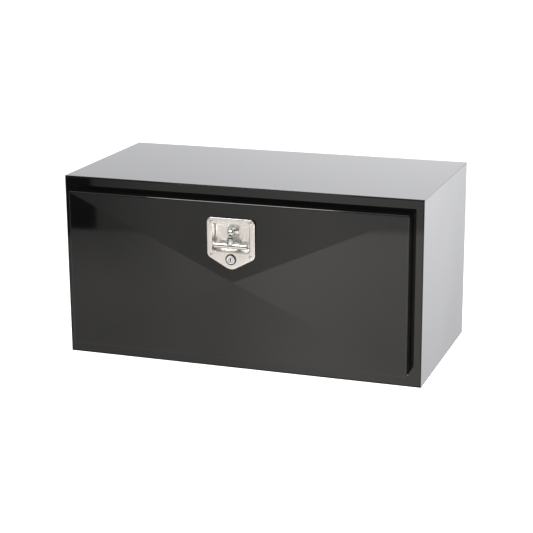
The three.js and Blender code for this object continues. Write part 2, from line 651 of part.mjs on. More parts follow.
// ---------------------------------------------------------------- key lock
function lockBody() {
  const face = DISH_FACE - GAP;
  const body = turned([
    [0, face - 3], [LOCK_HEAD - 0.8, face - 3], [LOCK_HEAD, face - 2.2], [LOCK_HEAD, face],
    [CYLINDER_R, face], [CYLINDER_R, PLANE - 0.6], [0, PLANE - 0.6],
  ], 0, LOCK_Z, 24);
  return node('lock_body', body.subtract(rodY(0, LOCK_Z, PLUG_R + 0.4, face - 5, 0)), CHROME);
}

function lockRing() {
  // dark ring between the lock head and the dish
  const back = DISH_FACE - GAP;
  const body = turned([
    [0, back - 1.6], [LOCK_RING - 0.7, back - 1.6], [LOCK_RING, back - 0.9], [LOCK_RING, back], [0, back],
  ], 0, LOCK_Z, 24);
  return node('lock_ring', body.subtract(rodY(0, LOCK_Z, LOCK_HEAD + GAP, back - 3, back + 1)), RUBBER);
}

function lockPlug() {
  const face = DISH_FACE - GAP - 2.6;
  const body = turned([
    [0, face], [PLUG_R - 0.6, face], [PLUG_R, face + 0.6], [PLUG_R, PLANE - 0.6], [CAM_BOLT, PLANE - 0.6],
    [CAM_BOLT, PLANE + PLATE + 2.5], [0, PLANE + PLATE + 2.5],
  ], 0, LOCK_Z, 20);
  const [wide, tall] = KEYWAY;
  const keyway = box(-wide, wide, face - 1, face + 12, LOCK_Z - tall, LOCK_Z + tall);
  return node('lock_plug', body.subtract(keyway), CHROME);
}

function lockCam() {
  const reach = 42;
  const half = 5;
  const shape = rounded([
    [-reach, LOCK_Z - half], [half + 1, LOCK_Z - half], [half + 1, LOCK_Z + half], [-reach, LOCK_Z + half],
  ], [3, 4, 4, 3]);
  const bore = rodY(0, LOCK_Z, CAM_BOLT + GAP, PLANE - 1, PLANE + PLATE + 1, 12);
  return node('lock_cam', slabY(shape, PLANE, PLANE + PLATE).subtract(bore), ZINC);
}

// ---------------------------------------------------------------- assembly
const toolBox = new THREE.Group();
toolBox.name = 'truck_tool_box';
toolBox.add(bodyWrap());
toolBox.add(endPanel('end_panel_left', -1));
toolBox.add(endPanel('end_panel_right', 1));
toolBox.add(frontFrame());
toolBox.add(weatherstrip());
toolBox.add(floorRib('floor_rib_left', -250));
toolBox.add(floorRib('floor_rib_middle', 0));
toolBox.add(floorRib('floor_rib_right', 250));
toolBox.add(roofRib('roof_rib_left', -150));
toolBox.add(roofRib('roof_rib_right', 150));
toolBox.add(hingeLeafBody());
toolBox.add(hingePin());
toolBox.add(stayBracket('stay_bracket_left', -1));
toolBox.add(stayBracket('stay_bracket_right', 1));
toolBox.add(stayRivet('stay_stud_left', -1, STAY_B));
toolBox.add(stayRivet('stay_stud_right', 1, STAY_B));
toolBox.add(doorPan());
toolBox.add(hingeLeafDoor());
toolBox.add(doorStiffener('door_stiffener_left', -290));
toolBox.add(doorStiffener('door_stiffener_right', 290));
toolBox.add(stayLug('stay_lug_left', -1));
toolBox.add(stayLug('stay_lug_right', 1));
toolBox.add(stayRivet('stay_pivot_left', -1, STAY_A));
toolBox.add(stayRivet('stay_pivot_right', 1, STAY_A));
toolBox.add(stayBar('stay_bar_left', -1));
toolBox.add(stayBar('stay_bar_right', 1));
// drawn on X = 0 and moved together to where the latch sits
const latchParts = [
  keeper(),
  keeperRivet('keeper_rivet_left', -KEEPER_RIVET_X),
  keeperRivet('keeper_rivet_right', KEEPER_RIVET_X),
  dishGasket(),
  latchDish(),
  dishRivet('dish_rivet_top_left', RIVETS[0]),
  dishRivet('dish_rivet_top_right', RIVETS[1]),
  dishRivet('dish_rivet_low_left', RIVETS[2]),
  dishRivet('dish_rivet_low_right', RIVETS[3]),
  latchBushing(),
  ringNut('bushing_nut', LATCH_Z, 25, BUSHING_R + GAP, FLOOR_BACK + GAP, FLOOR_BACK + 4.8),
  latchSpindle(),
  handlePin(),
  tHandle(),
  lockDisc(),
  latchSpacer(),
  pawl(),
  ringNut('spindle_nut', LATCH_Z, 22, SPINDLE_R + GAP, PAWL_Y + PAWL + GAP, SPINDLE_END - 2),
  lockBody(),
  lockRing(),
  ringNut('lock_nut', LOCK_Z, 25, CYLINDER_R + GAP, PAD_FACE + SHEET + GAP, PAD_FACE + SHEET + 5),
  lockPlug(),
  lockCam(),
  ringNut('lock_cam_nut', LOCK_Z, 9, CAM_BOLT + GAP, PLANE + PLATE + GAP, PLANE + PLATE + 2.3),
];
latchParts.forEach((mesh) => {
  mesh.position.x = LATCH_X;
  toolBox.add(mesh);
});
export default toolBox;
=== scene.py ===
"""Looks of an underbody truck tool box: gloss black sheet steel, stainless T-handle latch.

Metres, +Z up, the door faces -Y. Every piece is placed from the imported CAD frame.
"""

import json
import math

import bmesh
import bpy
from mathutils import Matrix, Vector


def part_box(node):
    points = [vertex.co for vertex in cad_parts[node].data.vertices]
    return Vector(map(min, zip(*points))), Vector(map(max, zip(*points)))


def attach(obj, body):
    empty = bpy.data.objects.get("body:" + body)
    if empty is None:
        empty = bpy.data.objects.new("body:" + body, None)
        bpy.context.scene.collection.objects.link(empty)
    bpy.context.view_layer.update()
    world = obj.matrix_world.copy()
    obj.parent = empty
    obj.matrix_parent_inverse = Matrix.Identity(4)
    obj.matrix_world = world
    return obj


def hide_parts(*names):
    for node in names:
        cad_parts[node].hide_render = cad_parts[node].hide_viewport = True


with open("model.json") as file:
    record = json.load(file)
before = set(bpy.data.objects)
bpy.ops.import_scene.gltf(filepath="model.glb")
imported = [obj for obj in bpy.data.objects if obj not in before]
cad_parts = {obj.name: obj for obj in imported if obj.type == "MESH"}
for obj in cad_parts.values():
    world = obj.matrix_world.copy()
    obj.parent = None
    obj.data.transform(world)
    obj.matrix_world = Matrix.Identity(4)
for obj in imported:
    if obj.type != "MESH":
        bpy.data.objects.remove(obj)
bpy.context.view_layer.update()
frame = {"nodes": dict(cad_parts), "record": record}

MM = 0.001

# ------------------------------------------------------------------ camera
CAMERA_AT = Vector((1.249, -3.586, 1.246))
CAMERA_AZIMUTH = 19.33  # degrees, to the right of straight on
CAMERA_ELEVATION = 15.39  # degrees above the horizon
CAMERA_ROLL = -0.38  # degrees
CAMERA_LENS = 103.6  # mm on a 36 mm sensor


def make_camera():
    azimuth = math.radians(CAMERA_AZIMUTH)
    elevation = math.radians(CAMERA_ELEVATION)
    roll = math.radians(CAMERA_ROLL)
    back = Vector((
        math.sin(azimuth) * math.cos(elevation),
        -math.cos(azimuth) * math.cos(elevation),
        math.sin(elevation),
    ))
    level_right = Vector((math.cos(azimuth), math.sin(azimuth), 0))
    level_up = back.cross(level_right)
    right = math.cos(roll) * level_right + math.sin(roll) * level_up
    up = back.cross(right)
    data = bpy.data.cameras.new("camera")
    data.lens = CAMERA_LENS
    data.sensor_width = 36
    data.clip_start = 0.05
    data.clip_end = 100
    camera = bpy.data.objects.new("camera", data)
    camera.matrix_world = Matrix.Translation(CAMERA_AT) @ Matrix((right, up, back)).transposed().to_4x4()
    bpy.context.scene.collection.objects.link(camera)
    bpy.context.scene.camera = camera


make_camera()

# ------------------------------------------------------------------ names and levels from the frame
RECORD = frame["record"]
BODY = {node: body for body, nodes in RECORD["behaviour"]["bodies"].items() for node in nodes}
SLOT = {part["node"]: part["material_slot"] for part in RECORD["subparts"]}


def box_mm(node):
    """(lowest corner, highest corner) of a CAD node, in millimetres."""
    low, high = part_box(node)
    return low / MM, high / MM


BODY_LOW, BODY_HIGH = box_mm("body_wrap")
DOOR_LOW, DOOR_HIGH = box_mm("door_pan")
FRAME_LOW, FRAME_HIGH = box_mm("front_frame")
DISH_LOW, DISH_HIGH = box_mm("latch_dish")
SPINDLE_LOW, SPINDLE_HIGH = box_mm("latch_spindle")
LOCK_LOW, LOCK_HIGH = box_mm("lock_body")

SHEET = 2  # steel of the body and the door
BEND = 3  # outer radius of a fold
RAW_EDGE = 0.3  # rounding of a cut sheet edge after paint
FRONT = BODY_LOW.y  # face of the front frame
CROSS_BREAK = 3.5  # rise of the door middle above its edges
DOOR_FACE = DOOR_LOW.y + CROSS_BREAK  # door face at its edges
DOOR_MIDDLE = (DOOR_LOW.z + DOOR_HIGH.z) / 2
PAD_FACE = DOOR_LOW.y + 0.1  # flat seat of the dish
LIP_OUT = FRONT - FRAME_LOW.y
LIP = [(-405, 62), (405, 62), (405, 400), (-405, 400)]  # outside of the opening lip
LIP_CORNER = 14
DISH_SHEET = 1.5
DISH_FACE = DISH_LOW.y
DISH_BACK = DISH_FACE + DISH_SHEET
FLOOR_BACK = DISH_HIGH.y
FLOOR_FACE = FLOOR_BACK - DISH_SHEET
LATCH_Z = (SPINDLE_LOW.z + SPINDLE_HIGH.z) / 2
LOCK_Z = (LOCK_LOW.z + LOCK_HIGH.z) / 2
LATCH_X = (DISH_LOW.x + DISH_HIGH.x) / 2
SHOULDER = 294.4  # height where the V of the dish begins
SHIELD_TIP = 261.4  # height where the straight edges of the V would meet
SHIELD = [(DISH_LOW.x, DISH_HIGH.z), (DISH_LOW.x, SHOULDER), (LATCH_X, SHIELD_TIP),
          (DISH_HIGH.x, SHOULDER), (DISH_HIGH.x, DISH_HIGH.z)]
SHIELD_CORNERS = [11, 15, 24, 15, 11]
RECESS_HALF = 47.5
RECESS_BOTTOM = 308
RECESS_TOP = 375.2
RECESS = [(LATCH_X - RECESS_HALF, RECESS_BOTTOM), (LATCH_X + RECESS_HALF, RECESS_BOTTOM),
          (LATCH_X + RECESS_HALF, RECESS_TOP), (LATCH_X - RECESS_HALF, RECESS_TOP)]
RECESS_CORNER = 8
LOCK_HOLE = 10.2  # radius of the hole for the lock barrel
RIVET_HOLE = 2.5
PIN_HOLE = 2.2


# ------------------------------------------------------------------ material helpers
def new_material(name):
    material = bpy.data.materials.new(name)
    material.use_nodes = True
    tree = material.node_tree
    shader = tree.nodes["Principled BSDF"]
    return material, tree, shader


def add(tree, kind, **inputs):
    node = tree.nodes.new(kind)
    for name, value in inputs.items():
        node.inputs[name.replace("_", " ")].default_value = value
    return node


def coordinates(tree, stretch=(1, 1, 1)):
    """Object coordinates in metres, stretched to draw out a grain."""
    source = tree.nodes.new("ShaderNodeTexCoord")
    mapping = tree.nodes.new("ShaderNodeMapping")
    mapping.inputs["Scale"].default_value = stretch
    tree.links.new(source.outputs["Object"], mapping.inputs["Vector"])
    return mapping.outputs["Vector"]


def noise(tree, vector, scale, detail=2.0, roughness=0.5):
    node = add(tree, "ShaderNodeTexNoise", Scale=scale, Detail=detail, Roughness=roughness)
    tree.links.new(vector, node.inputs["Vector"])
    return node.outputs["Fac"]


def spread(tree, value, low, high, start=0.3, end=0.7):
    """Maps a value from start..end to low..high, clamped."""
    node = tree.nodes.new("ShaderNodeMapRange")
    node.inputs["From Min"].default_value = start
    node.inputs["From Max"].default_value = end
    node.inputs["To Min"].default_value = low
    node.inputs["To Max"].default_value = high
    tree.links.new(value, node.inputs["Value"])
    return node.outputs["Result"]


def two_tone(tree, value, dark, light, start=0.3, end=0.7):
    node = tree.nodes.new("ShaderNodeValToRGB")
    ramp = node.color_ramp.elements
    ramp[0].position = start
    ramp[0].color = (*dark, 1)
    ramp[1].position = end
    ramp[1].color = (*light, 1)
    tree.links.new(value, node.inputs["Fac"])
    return node.outputs["Color"]


def bump(tree, shader, heights):
    """Chains bumps: (height socket, distance in metres, strength)."""
    normal = None
    for height, distance, strength in heights:
        node = add(tree, "ShaderNodeBump", Distance=distance, Strength=strength)
        tree.links.new(height, node.inputs["Height"])
        if normal is not None:
            tree.links.new(normal, node.inputs["Normal"])
        normal = node.outputs["Normal"]
    tree.links.new(normal, shader.inputs["Normal"])


# ------------------------------------------------------------------ materials
def gloss_paint():
    """Black powder coat: deep gloss, fine orange peel, sheet that is not quite flat."""
    material, tree, shader = new_material("gloss_black_paint")
    vector = coordinates(tree)
    cloud = noise(tree, vector, 9, 3)
    peel = noise(tree, vector, 420, 2)
    wave = noise(tree, vector, 4.5, 1)
    colour = two_tone(tree, cloud, (0.0012, 0.0012, 0.0013), (0.002, 0.002, 0.0019))
    tree.links.new(colour, shader.inputs["Base Color"])
    tree.links.new(spread(tree, cloud, 0.015, 0.03), shader.inputs["Roughness"])
    shader.inputs["IOR"].default_value = 1.5
    bump(tree, shader, [(wave, 0.0006, 0.4), (peel, 0.00001, 0.35)])
    return material


def stainless():
    """Satin stainless pressing with a fine upright grain."""
    material, tree, shader = new_material("stainless")
    grain = noise(tree, coordinates(tree, (900, 900, 25)), 1, 3)
    smudge = noise(tree, coordinates(tree), 35, 3)
    colour = two_tone(tree, smudge, (0.88, 0.84, 0.80), (0.97, 0.94, 0.91))
    tree.links.new(colour, shader.inputs["Base Color"])
    tree.links.new(spread(tree, grain, 0.24, 0.36), shader.inputs["Roughness"])
    shader.inputs["Metallic"].default_value = 1
    bump(tree, shader, [(grain, 0.00002, 0.4)])
    return material


def chrome():
    """Bright plated casting with light handling marks."""
    material, tree, shader = new_material("chrome")
    marks = noise(tree, coordinates(tree, (1, 1, 6)), 160, 4, 0.7)
    cast = noise(tree, coordinates(tree), 120, 2)
    colour = two_tone(tree, cast, (0.76, 0.77, 0.76), (0.86, 0.87, 0.86))
    tree.links.new(colour, shader.inputs["Base Color"])
    tree.links.new(spread(tree, marks, 0.15, 0.25), shader.inputs["Roughness"])
    shader.inputs["Metallic"].default_value = 1
    bump(tree, shader, [(cast, 0.00004, 0.35)])
    return material


def zinc():
    """Bright zinc plate, faintly mottled blue and yellow."""
    material, tree, shader = new_material("zinc_plate")
    vector = coordinates(tree)
    mottle = noise(tree, vector, 60, 4, 0.6)
    grain = noise(tree, vector, 700, 2)
    colour = two_tone(tree, mottle, (0.56, 0.58, 0.61), (0.70, 0.69, 0.64))
    tree.links.new(colour, shader.inputs["Base Color"])
    tree.links.new(spread(tree, mottle, 0.28, 0.45), shader.inputs["Roughness"])
    shader.inputs["Metallic"].default_value = 1
    bump(tree, shader, [(grain, 0.00003, 0.4)])
    return material


def rubber():
    """Matte black moulded rubber."""
    material, tree, shader = new_material("black_rubber")
    vector = coordinates(tree)
    bloom = noise(tree, vector, 30, 3)
    grain = noise(tree, vector, 900, 2)
    colour = two_tone(tree, bloom, (0.012, 0.012, 0.012), (0.022, 0.022, 0.023))
    tree.links.new(colour, shader.inputs["Base Color"])
    tree.links.new(spread(tree, bloom, 0.62, 0.8), shader.inputs["Roughness"])
    bump(tree, shader, [(grain, 0.00008, 0.5)])
    return material


MATERIALS = {
    "body_paint": gloss_paint(),
    "stainless": stainless(),
    "chrome": chrome(),
    "zinc": zinc(),
    "rubber": rubber(),
}


# ------------------------------------------------------------------ mesh building, in millimetres
def along_y(u, v, w):
    """Outline in X-Z, depth along Y."""
    return Vector((u, w, v))


def along_x(u, v, w):
    """Outline in Y-Z, depth along X."""
    return Vector((w, u, v))


def outline(points, radii, inset=0.0, steps=6):
    """Convex outline with round corners, listed counter-clockwise, moved inwards by inset."""
    made = []
    for index, corner in enumerate(points):
        here = Vector(corner)
        towards = (here - Vector(points[index - 1])).normalized()
        away = (Vector(points[(index + 1) % len(points)]) - here).normalized()
        before = Vector((towards.y, -towards.x))
        after = Vector((away.y, -away.x))
        radius = radii[index] if isinstance(radii, list) else radii
        centre = here - radius * (before + after) / (1 + before.dot(after))
        start = math.atan2(before.y, before.x)
        turn = (math.atan2(after.y, after.x) - start) % (2 * math.pi)
        for step in range(steps + 1):
            angle = start + turn * step / steps
            made.append(centre + (radius - inset) * Vector((math.cos(angle), math.sin(angle))))
    return made


def circle(u, v, radius, steps=64):
    angles = [2 * math.pi * step / steps for step in range(steps)]
    return [Vector((u + radius * math.cos(angle), v + radius * math.sin(angle))) for angle in angles]


def arc(centre, radius, start, end, steps=6):
    """Points on an arc or, with a pair of radii, a quarter of an ellipse; angles in degrees."""
    across, along = radius if isinstance(radius, tuple) else (radius, radius)
    angles = [math.radians(start + (end - start) * step / steps) for step in range(steps + 1)]
    return [(centre[0] + across * math.cos(angle), centre[1] + along * math.sin(angle)) for angle in angles]


def loop(bm, points, depth, place=along_y):
    """A ring of vertices; depth is a number, or a function of the two outline coordinates."""
    level = depth if callable(depth) else lambda u, v: depth
    return [bm.verts.new(place(u, v, level(u, v))) for u, v in points]


def bridge(bm, first, second):
    for i, vert in enumerate(first):
        j = (i + 1) % len(first)
        bm.faces.new((vert, first[j], second[j], second[i]))


def stack(bm, shape, rings, place=along_y):
    """Joined rings of one outline. shape gives the outline for an inset; rings are (inset, depth) pairs."""
    loops = [loop(bm, shape(inset), depth, place) for inset, depth in rings]
    for first, second in zip(loops, loops[1:]):
        bridge(bm, first, second)
    return loops


def fill(bm, *loops):
    """Fills the flat region between an outer ring and any rings inside it."""
    edges = []
    for ring in loops:
        for i, vert in enumerate(ring):
            ends = (vert, ring[(i + 1) % len(ring)])
            edges.append(bm.edges.get(ends) or bm.edges.new(ends))
    bmesh.ops.triangle_fill(bm, use_beauty=True, use_dissolve=False, edges=edges)


def add_turned(bm, profile, centre, place=along_y, steps=64):
    """(radius, depth) pairs turned about a line; the profile closes on itself unless it ends on the axis."""
    rings = []
    for radius, depth in profile:
        points = [centre] if radius == 0 else circle(*centre, radius, steps)
        rings.append(loop(bm, points, depth, place))
    if profile[0][0] > 0:
        rings.append(rings[0])
    for first, second in zip(rings, rings[1:]):
        if len(first) > 1 and len(second) > 1:
            bridge(bm, first, second)
            continue
        tip, ring = (first[0], second) if len(first) == 1 else (second[0], first)
        for i, vert in enumerate(ring):
            bm.faces.new((tip, vert, ring[(i + 1) % steps]))


SHARP = 35  # degrees: edges sharper than this are drawn as edges
SLIGHT = 0.3  # degrees: the least bend of a crease


def put(name, bm):
    """Turns a bmesh in millimetres into an object in metres with its faces out."""
    bmesh.ops.scale(bm, vec=(MM, MM, MM), verts=bm.verts)
    return put_metres(name, bm)


def put_metres(name, bm):
    bmesh.ops.recalc_face_normals(bm, faces=bm.faces)
    mesh = bpy.data.meshes.new(name)
    bm.to_mesh(mesh)
    bm.free()
    made = bpy.data.objects.new(name, mesh)
    bpy.context.scene.collection.objects.link(made)
    return made


def apply_modifiers(made):
    graph = bpy.context.evaluated_depsgraph_get()
    mesh = bpy.data.meshes.new_from_object(made.evaluated_get(graph))
    made.modifiers.clear()
    made.data = mesh


def round_edges(made, width, segments=3, angle=40):
    """Rounds the edges sharper than angle; width in millimetres."""
    bevel = made.modifiers.new("edges", "BEVEL")
    bevel.width = width * MM
    bevel.segments = segments
    bevel.limit_method = "ANGLE"
    bevel.angle_limit = math.radians(angle)
    apply_modifiers(made)


def cut(made, cutter, operation="DIFFERENCE"):
    boolean = made.modifiers.new("cut", "BOOLEAN")
    boolean.operation = operation
    boolean.solver = "EXACT"
    boolean.object = cutter
    apply_modifiers(made)
    bpy.data.objects.remove(cutter)


def shade(made, creased=None):
    """Smooth shading that keeps flats flat and real edges sharp.

    creased says where a slight bend is sharp too.
    """
    mesh = made.data
    mesh.shade_smooth()
    mesh.set_sharp_from_angle(angle=math.radians(SLIGHT))
    bent = [edge.index for edge in mesh.edges if creased and edge.use_edge_sharp
            and any(creased(mesh.vertices[index].co) for index in edge.vertices)]
    mesh.set_sharp_from_angle(angle=math.radians(SHARP))
    for index in bent:
        mesh.edges[index].use_edge_sharp = True
    flats = made.modifiers.new("flats", "WEIGHTED_NORMAL")
    flats.keep_sharp = True
    apply_modifiers(made)


def dress(made, node, creased=None):
    """The piece stands for a CAD node: same body, same finish."""
    shade(made, creased)
    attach(made, BODY[node])
    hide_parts(node)
    made.data.materials.clear()
    made.data.materials.append(MATERIALS[SLOT[node]])
    return made


def turned(node, profile, centre, place=along_y, steps=64):
    bm = bmesh.new()
    add_turned(bm, profile, centre, place, steps)
    return dress(put(node + ".turned", bm), node)


def refined(node, width, segments=3):
    """A CAD node's shape with its flats merged and its edges rounded."""
    bm = bmesh.new()
    bm.from_mesh(frame["nodes"][node].data)
    bmesh.ops.remove_doubles(bm, verts=bm.verts, dist=2e-6)
    bmesh.ops.dissolve_limit(bm, angle_limit=math.radians(0.5), verts=bm.verts, edges=bm.edges)
    made = put_metres(node + ".rounded", bm)
    round_edges(made, width, segments)
    return dress(made, node)


# ------------------------------------------------------------------ body of the box
def body_wrap():
    """One sheet folded into the top, the back and the bottom."""
    back, top = BODY_HIGH.y, BODY_HIGH.z
    inside = BEND - SHEET
    profile = [(FRONT, 0)]
    profile += arc((back - BEND, BEND), BEND, -90, 0)
    profile += arc((back - BEND, top - BEND), BEND, 0, 90)
    profile += [(FRONT, top), (FRONT, top - SHEET)]
    profile += arc((back - BEND, top - BEND), inside, 90, 0)
    profile += arc((back - BEND, BEND), inside, 0, -90)
    profile += [(FRONT, SHEET)]
    bm = bmesh.new()
    ends = [loop(bm, profile, x, along_x) for x in (BODY_LOW.x, BODY_HIGH.x)]
    bridge(bm, *ends)
    fill(bm, ends[0])
    fill(bm, ends[1])
    made = put("body_wrap.sheet", bm)
    round_edges(made, RAW_EDGE, angle=60)
    dress(made, "body_wrap")


def front_frame():
    """Plate around the opening: outer edge folded back, inner edge folded forward into a lip."""
    fold = 1.5
    back = FRAME_HIGH.y
    bm = bmesh.new()
    corners = [(FRAME_LOW.x, FRAME_LOW.z), (FRAME_HIGH.x, FRAME_LOW.z),
               (FRAME_HIGH.x, FRAME_HIGH.z), (FRAME_LOW.x, FRAME_HIGH.z)]
    rings = arc((fold, FRONT + fold), fold, 270, 180, 4)
    rings += arc((RAW_EDGE, back - RAW_EDGE), RAW_EDGE, 180, 90, 3)
    rings += arc((SHEET - RAW_EDGE, back - RAW_EDGE), RAW_EDGE, 90, 0, 3)
    rings += [(SHEET, FRONT + SHEET)]
    outer = stack(bm, lambda inset: outline(corners, 3, inset), rings)
    lip = FRONT - LIP_OUT
    rings = arc((-fold, FRONT - fold), fold, 90, 0, 4)
    rings += arc((RAW_EDGE, lip + RAW_EDGE), RAW_EDGE, 180, 270, 3)
    rings += arc((SHEET - RAW_EDGE, lip + RAW_EDGE), RAW_EDGE, 270, 360, 3)
    rings += arc((-fold, FRONT - fold), fold + SHEET, 0, 90, 5)
    inner = stack(bm, lambda inset: outline(LIP, LIP_CORNER, inset), rings)
    fill(bm, outer[0], inner[0])
    fill(bm, outer[-1], inner[-1])
    dress(put("front_frame.sheet", bm), "front_frame")


def weatherstrip():
    """Grip channel over the lip with a hollow-looking bulb that the door presses on."""
    low, high = box_mm("weatherstrip")
    lip = FRONT - LIP_OUT
    bulb, bulb_depth = 6, 5.6
    grip, shoulder = 4.6, lip - 3
    slot, slot_end = SHEET / 2 + 0.3, lip - 0.3
    rear = high.y
    middle = SHEET / 2
    section = [(grip, rear), (grip, shoulder)]
    section += arc((0, low.y + bulb_depth), (bulb, bulb_depth), 20, -200, 16)
    section += [(-grip, shoulder), (-grip, rear), (-slot, rear), (-slot, slot_end)]
    section += [(slot, slot_end), (slot, rear)]
    bm = bmesh.new()
    loops = stack(bm, lambda inset: outline(LIP, LIP_CORNER, inset + middle, 8), section)
    bridge(bm, loops[-1], loops[0])
    dress(put("weatherstrip.seal", bm), "weatherstrip")


# ------------------------------------------------------------------ door
RIVETS = {node: ((low.x + high.x) / 2, (low.z + high.z) / 2)
          for node, (low, high) in ((node, box_mm(node)) for node in BODY if node.startswith("dish_rivet"))}


def shield(inset):
    return outline(SHIELD, SHIELD_CORNERS, inset, 8)


def recess(inset):
    return outline(RECESS, RECESS_CORNER, inset, 8)


def small_holes(lock_radius, rivet_radius):
    """Outlines of the lock hole and the rivet holes."""
    rivets = [circle(x, z, rivet_radius, 24) for x, z in RIVETS.values()]
    return [circle(LATCH_X, LOCK_Z, lock_radius)] + rivets


def door_skin(bm, edge, lift):
    """The four facets of the cross-broken face inside the ring edge, with the dish's flat."""
    corner = len(edge) // 4
    apex = bm.verts.new((0, DOOR_FACE - CROSS_BREAK + lift, DOOR_MIDDLE))
    top = edge[2 * corner + corner].co.z
    slope = CROSS_BREAK / (top - DOOR_MIDDLE)
    seat = stack(bm, shield, [
        (1.0, lambda u, v: DOOR_FACE + lift - slope * (top - v)),
        (1.5, PAD_FACE + lift + 0.4), (1.9, PAD_FACE + lift),
    ])
    for k in range(4):
        start = k * corner + corner // 2
        count = corner + 1
        side = [edge[(start + i) % len(edge)] for i in range(count)]
        if k == 2:
            fill(bm, side + [apex], seat[0])
        else:
            bm.faces.new(side + [apex])
    holes = [loop(bm, recess(-DISH_SHEET - 0.6), PAD_FACE + lift)]
    holes += [loop(bm, points, PAD_FACE + lift) for points in small_holes(LOCK_HOLE, RIVET_HOLE)]
    fill(bm, seat[-1], *holes)
    return holes


def door_pan():
    """Door sheet folded back all round, its face cross-broken into four flat facets."""
    corners = [(DOOR_LOW.x, DOOR_LOW.z), (DOOR_HIGH.x, DOOR_LOW.z),
               (DOOR_HIGH.x, DOOR_HIGH.z), (DOOR_LOW.x, DOOR_HIGH.z)]
    rear = DOOR_HIGH.y
    rings = arc((BEND, DOOR_FACE + BEND), BEND, 270, 180)
    rings += arc((RAW_EDGE, rear - RAW_EDGE), RAW_EDGE, 180, 90, 3)
    rings += arc((SHEET - RAW_EDGE, rear - RAW_EDGE), RAW_EDGE, 90, 0, 3)
    rings += arc((BEND, DOOR_FACE + BEND), BEND - SHEET, 180, 270, 4)
    bm = bmesh.new()
    folds = stack(bm, lambda inset: outline(corners, 4, inset, 6), rings)
    front = door_skin(bm, folds[0], 0)
    back = door_skin(bm, folds[-1], SHEET)
    for first, second in zip(front, back):
        bridge(bm, first, second)
    made = put("door_pan.sheet", bm)
    reach = (DOOR_HIGH.x - BEND - 1) * MM
    rise = (DOOR_HIGH.z - DOOR_MIDDLE - BEND - 1) * MM
    middle = DOOR_MIDDLE * MM
    dress(made, "door_pan", creased=lambda point: abs(point.x) < reach and abs(point.z - middle) < rise)


# ------------------------------------------------------------------ latch
def latch_dish():
    """Deep-drawn stainless dish: rolled rim, rounded mouth, sloped walls, wide floor radius."""
    rim, drop = 2.2, 1.1
    mouth, draft, hollow = 2.0, 1.5, 6.0
    mouth_centre = (-mouth, DISH_FACE + mouth)
    floor_centre = (draft + hollow, FLOOR_FACE - hollow)
    bm = bmesh.new()
    rings = arc((rim, DISH_FACE + drop), (rim, drop), 270, 180, 5)
    rings += arc((0.2, DISH_BACK - 0.2), 0.2, 180, 90, 2)
    flange = stack(bm, shield, rings)
    front = stack(bm, recess, arc(mouth_centre, mouth, 270, 360, 5) + arc(floor_centre, hollow, 180, 90, 7))
    back = stack(bm, recess, arc(mouth_centre, mouth - DISH_SHEET, 270, 360, 5)
                 + arc(floor_centre, hollow + DISH_SHEET, 180, 90, 7))
    ahead = [loop(bm, points, DISH_FACE) for points in small_holes(LOCK_HOLE, RIVET_HOLE)]
    behind = [loop(bm, points, DISH_BACK) for points in small_holes(LOCK_HOLE, RIVET_HOLE)]
    bore = [loop(bm, circle(LATCH_X, LATCH_Z, 9.3), depth) for depth in (FLOOR_FACE, FLOOR_BACK)]
    fill(bm, flange[0], front[0], *ahead)
    fill(bm, flange[-1], back[0], *behind)
    fill(bm, front[-1], bore[0])
    fill(bm, back[-1], bore[1])
    for first, second in zip(ahead + bore[:1], behind + bore[1:]):
        bridge(bm, first, second)
    dress(put("latch_dish.pressing", bm), "latch_dish")


def dish_rivets():
    """Blind rivets: a low dome with the hollow of the snapped mandrel."""
    for node, centre in RIVETS.items():
        low, high = box_mm(node)
        face = DISH_FACE - 0.3
        reach = 3.7
        profile = [(0, low.y + 1.9), (1.0, low.y + 1.9), (1.2, low.y + 2.6), (1.7, low.y + 2.6)]
        profile += [(1.8, low.y + 0.5), (2.1, low.y)]
        profile += arc((2.1, face), (reach - 2.1, face - low.y), 270, 360, 6)[1:]
        profile += [(2.2, face), (2.2, PAD_FACE + SHEET + 0.3), (2.9, PAD_FACE + SHEET + 0.3)]
        profile += [(2.5, high.y - 0.6), (0, high.y)]
        turned(node, profile, centre, steps=40)


def latch_bushing():
    """Chromed collar that the spindle turns in."""
    low, high = box_mm("latch_bushing")
    radius, bore = (high.x - low.x) / 2, 7.3
    profile = [(bore, high.y), (bore, low.y + 0.5), (bore + 0.5, low.y)]
    profile += arc((radius - 2.4, low.y + 2.4), 2.4, 270, 360, 6)
    profile += [(radius, FLOOR_FACE - 0.3), (9, FLOOR_FACE - 0.3), (9, high.y)]
    turned("latch_bushing", profile, (LATCH_X, LATCH_Z))


def block(low, high):
    """A cutter, never a piece: a plain block between two corners."""
    bm = bmesh.new()
    points = [(low[0], low[2]), (high[0], low[2]), (high[0], high[2]), (low[0], high[2])]
    ends = [loop(bm, points, y) for y in (low[1], high[1])]
    bridge(bm, *ends)
    fill(bm, ends[0])
    fill(bm, ends[1])
    return put("cutter", bm)


def rod(radius, x0, x1, y, z):
    """A cutter, or a shape to be joined on: a round bar along X."""
    bm = bmesh.new()
    add_turned(bm, [(0, x0), (radius, x0), (radius, x1), (0, x1)], (y, z), along_x)
    return put("cutter", bm)


PIN_LOW, PIN_HIGH = box_mm("handle_pin")
PIVOT_Y = (PIN_LOW.y + PIN_HIGH.y) / 2
EYE_R = 5.9  # handle eye


